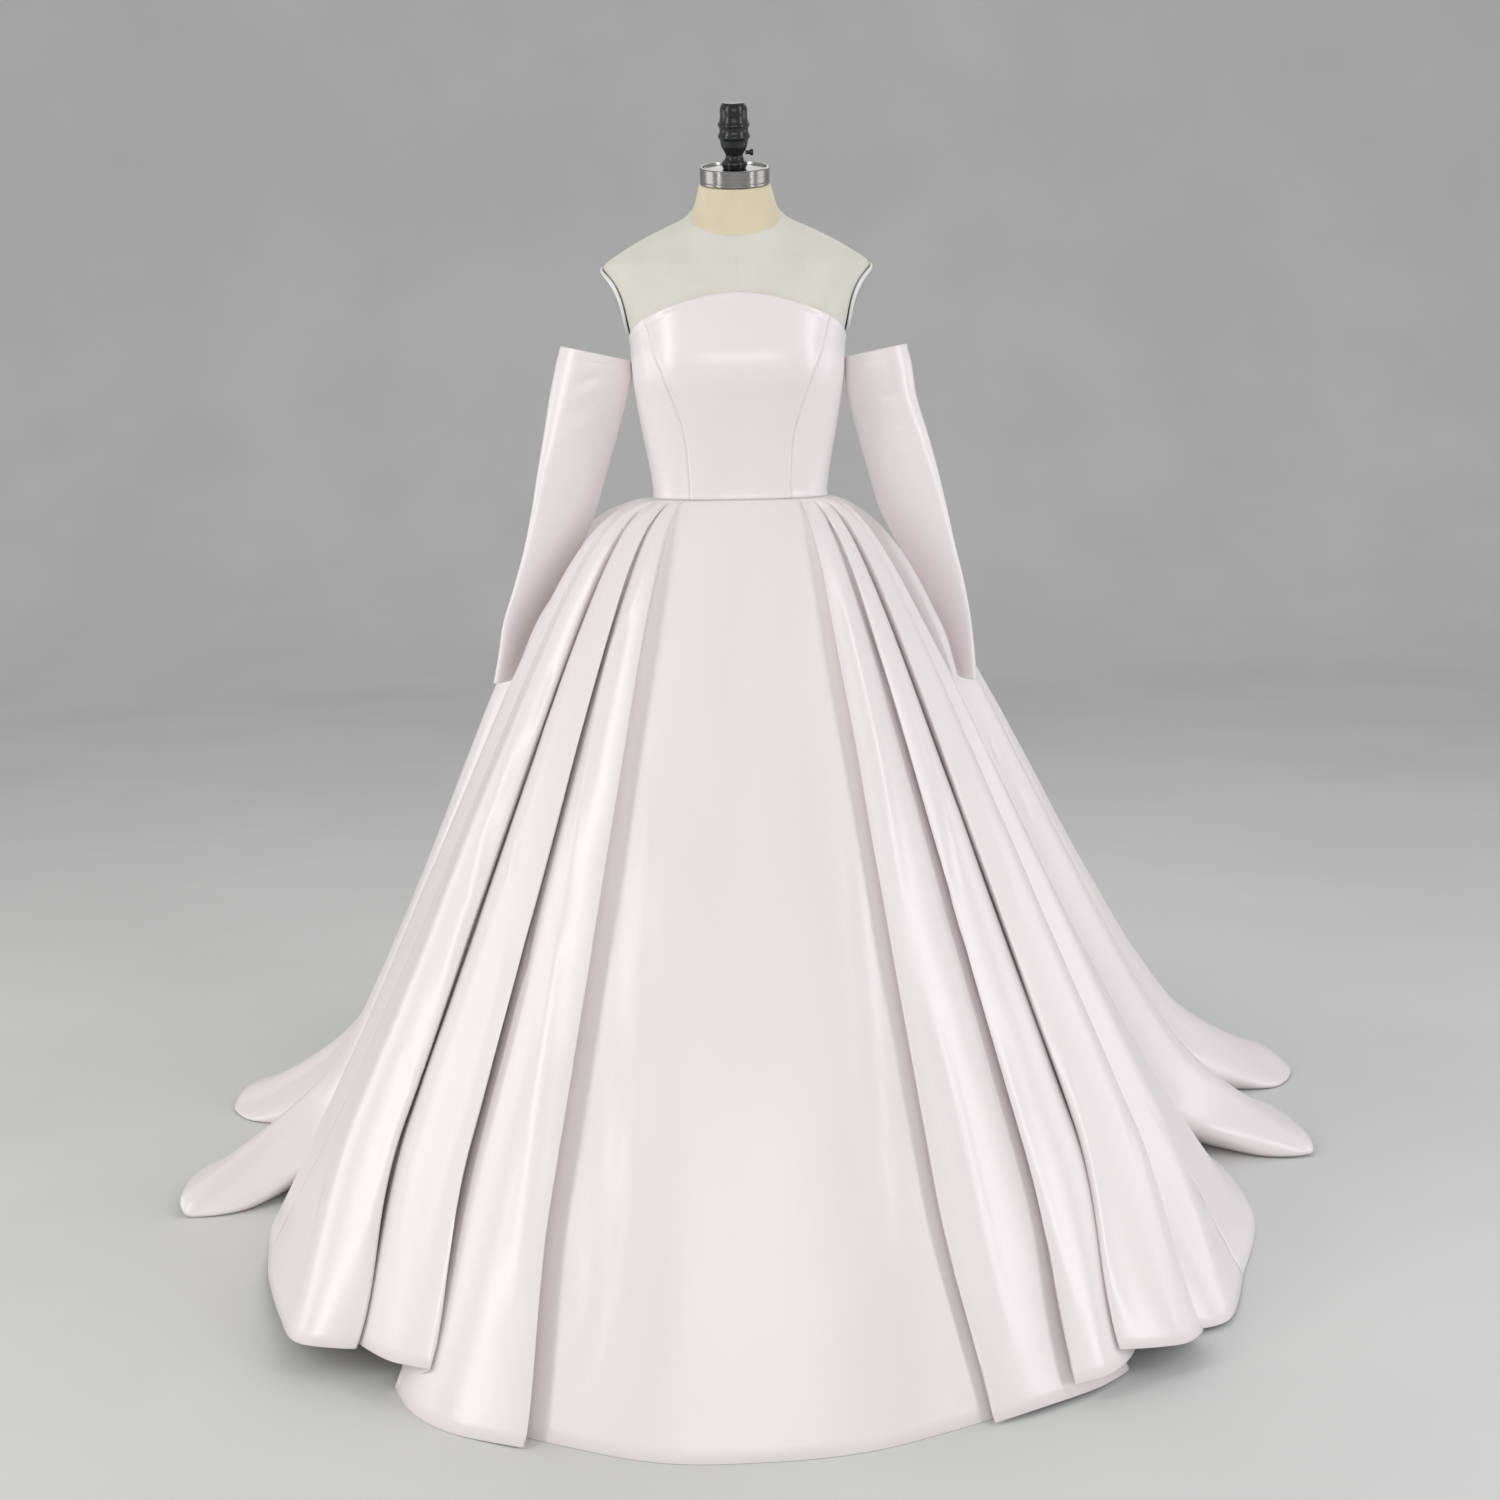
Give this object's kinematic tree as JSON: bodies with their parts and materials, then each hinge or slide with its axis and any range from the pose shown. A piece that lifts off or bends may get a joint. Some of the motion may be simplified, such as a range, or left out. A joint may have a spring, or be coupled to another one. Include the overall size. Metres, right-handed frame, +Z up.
{
  "type": "wedding dress on dress form",
  "caption": "Strapless satin wedding gown with separate hanging sleeves, pleated full skirt and train, on a limbless dress form and its stand.",
  "frame": {"origin": "middle of the stand base's flat underside, on the floor", "axes": "+Z is up, the front of the dress faces -Y, and +X is to the right seen from the front. Left and right in node names are as seen from the front."},
  "size_m": [1.8573, 1.9077, 1.5849],
  "materials": {
    "satin": "duchess satin, soft lustre",
    "form_linen": "plain woven cotton over the form",
    "arm_plate_grey": "moulded, satin",
    "cap_steel": "brushed",
    "knob_black": "turned, half gloss",
    "stand_metal": "brushed"
  },
  "bodies": {
    "root": {"bodice_center_front": "satin", "bodice_side_front_left": "satin", "bodice_side_front_right": "satin", "bodice_back_left": "satin", "bodice_back_right": "satin", "skirt_center_front": "satin", "skirt_side_front_left": "satin", "skirt_side_front_right": "satin", "skirt_side_back_left": "satin", "skirt_side_back_right": "satin", "skirt_back_left": "satin", "skirt_back_right": "satin", "sleeve_left_upper": "satin", "sleeve_left_lower": "satin", "sleeve_right_upper": "satin", "sleeve_right_lower": "satin", "form_torso": "form_linen", "form_arm_plate_left": "arm_plate_grey", "form_arm_plate_right": "arm_plate_grey", "neck_cap": "cap_steel", "neck_knob": "knob_black", "knob_screw": "knob_black", "stand_pole": "stand_metal", "stand_base": "stand_metal"}
  },
  "joints": []
}
